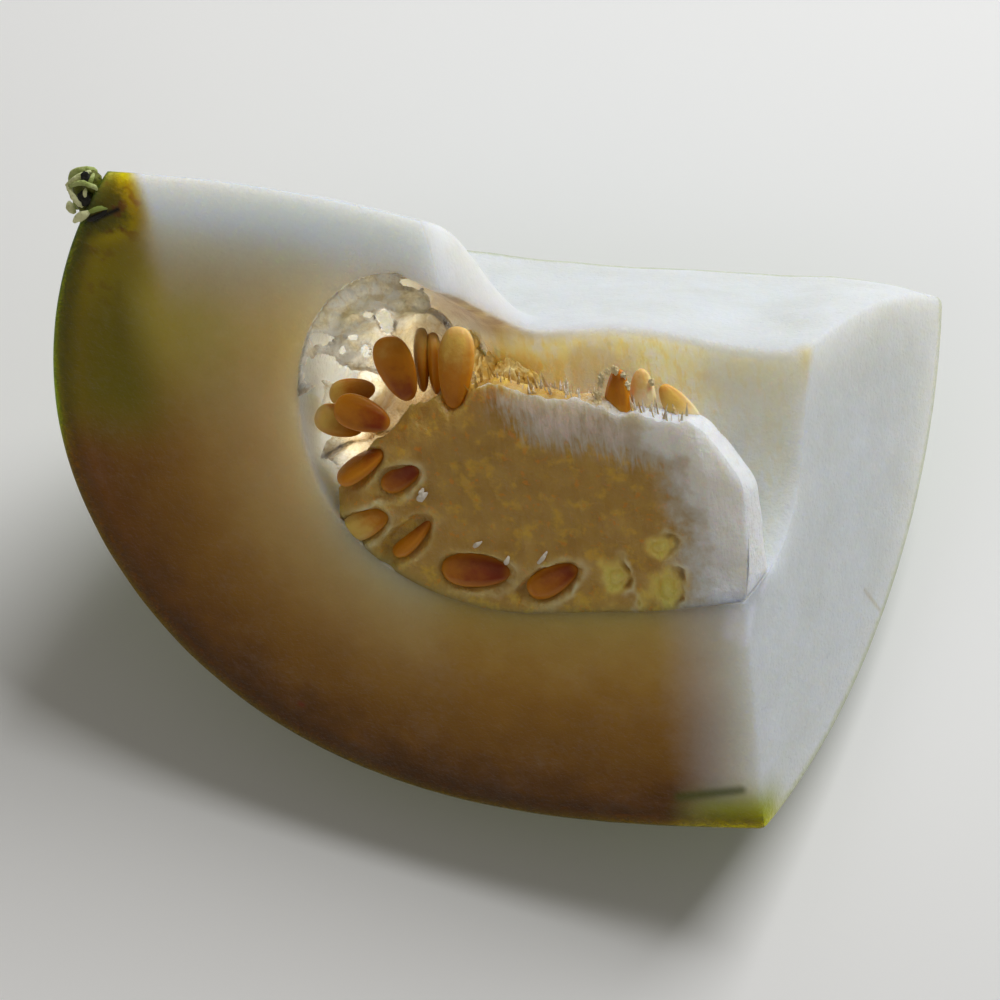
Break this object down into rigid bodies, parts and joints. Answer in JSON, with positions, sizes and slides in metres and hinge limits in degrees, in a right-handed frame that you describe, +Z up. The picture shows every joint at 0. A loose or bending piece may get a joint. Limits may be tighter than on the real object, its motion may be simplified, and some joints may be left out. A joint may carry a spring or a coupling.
{
  "type": "cut wedge of ash gourd",
  "caption": "Cut wedge of an ash gourd's stem end, green rind outside, pale flesh, spongy seedy core and a stem stub.",
  "frame": {"origin": "centre of the bounding box at floor level, under the wedge", "axes": "+Z up as the wedge rests on its rind, +X along the gourd towards the cross cut, level, -Y towards the front cut"},
  "size_m": [0.1472, 0.1016, 0.0941],
  "materials": {
    "flesh": "moist satin flesh with a thin green rind",
    "core": "moist spongy fibre",
    "curtain": "moist ragged tissue",
    "stem": "dry fibre",
    "seed": "wet seed coat"
  },
  "bodies": {
    "root": {"flesh": "flesh", "core": "core", "curtain": "curtain", "stem": "stem", "seed_01": "seed", "seed_02": "seed", "seed_03": "seed", "seed_04": "seed", "seed_05": "seed", "seed_06": "seed", "seed_07": "seed", "seed_08": "seed", "seed_09": "seed", "seed_10": "seed", "seed_11": "seed", "seed_12": "seed", "seed_13": "seed", "seed_14": "seed", "seed_15": "seed", "seed_16": "seed"}
  },
  "joints": []
}
